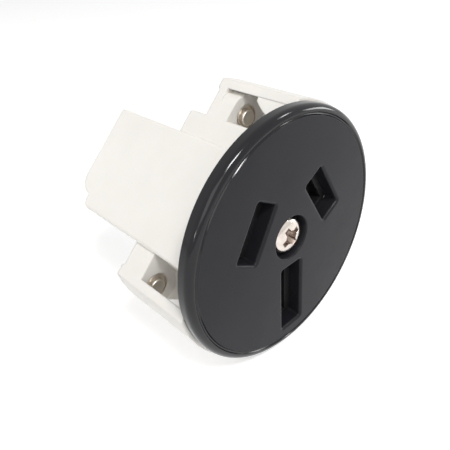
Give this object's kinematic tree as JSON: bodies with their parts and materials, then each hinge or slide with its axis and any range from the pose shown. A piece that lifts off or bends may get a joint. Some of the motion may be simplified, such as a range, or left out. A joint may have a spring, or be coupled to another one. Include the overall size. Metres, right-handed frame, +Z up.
{
  "type": "panel mount socket outlet",
  "caption": "Round panel mount socket: black face with flat pin pockets, central clamp screw, and a white rear body with lugs and wire terminals.",
  "frame": {"origin": "on the socket's axis, in the plane of the face plate's back, where the panel's front surface lies", "axes": "+X to the right seen from the front, +Y rearward along the axis, +Z up, with the earth slot at the bottom"},
  "size_m": [0.0379, 0.0338, 0.0378],
  "materials": {
    "face_black": "satin moulded face with a polished rim",
    "guide_black": "plain moulded",
    "body_white": "warm white moulded thermoset",
    "nickel": "bright nickel plate",
    "brass": "plain pressed brass",
    "steel": "zinc plate"
  },
  "bodies": {
    "root": {"face_plate": "face_black", "pin_guide": "guide_black", "body_shell": "body_white", "clamp_screw": "nickel", "clamp_insert": "brass", "guide_screw_left": "steel", "guide_screw_right": "steel", "active_contact": "brass", "active_terminal": "brass", "active_wire_clamp": "steel", "active_terminal_screw": "nickel", "neutral_contact": "brass", "neutral_terminal": "brass", "neutral_wire_clamp": "steel", "neutral_terminal_screw": "nickel", "earth_contact": "brass", "earth_terminal": "brass", "earth_wire_clamp": "steel", "earth_terminal_screw": "nickel", "lug_insert_1": "nickel", "lug_insert_2": "nickel", "lug_insert_3": "nickel", "lug_insert_4": "nickel"}
  },
  "joints": []
}
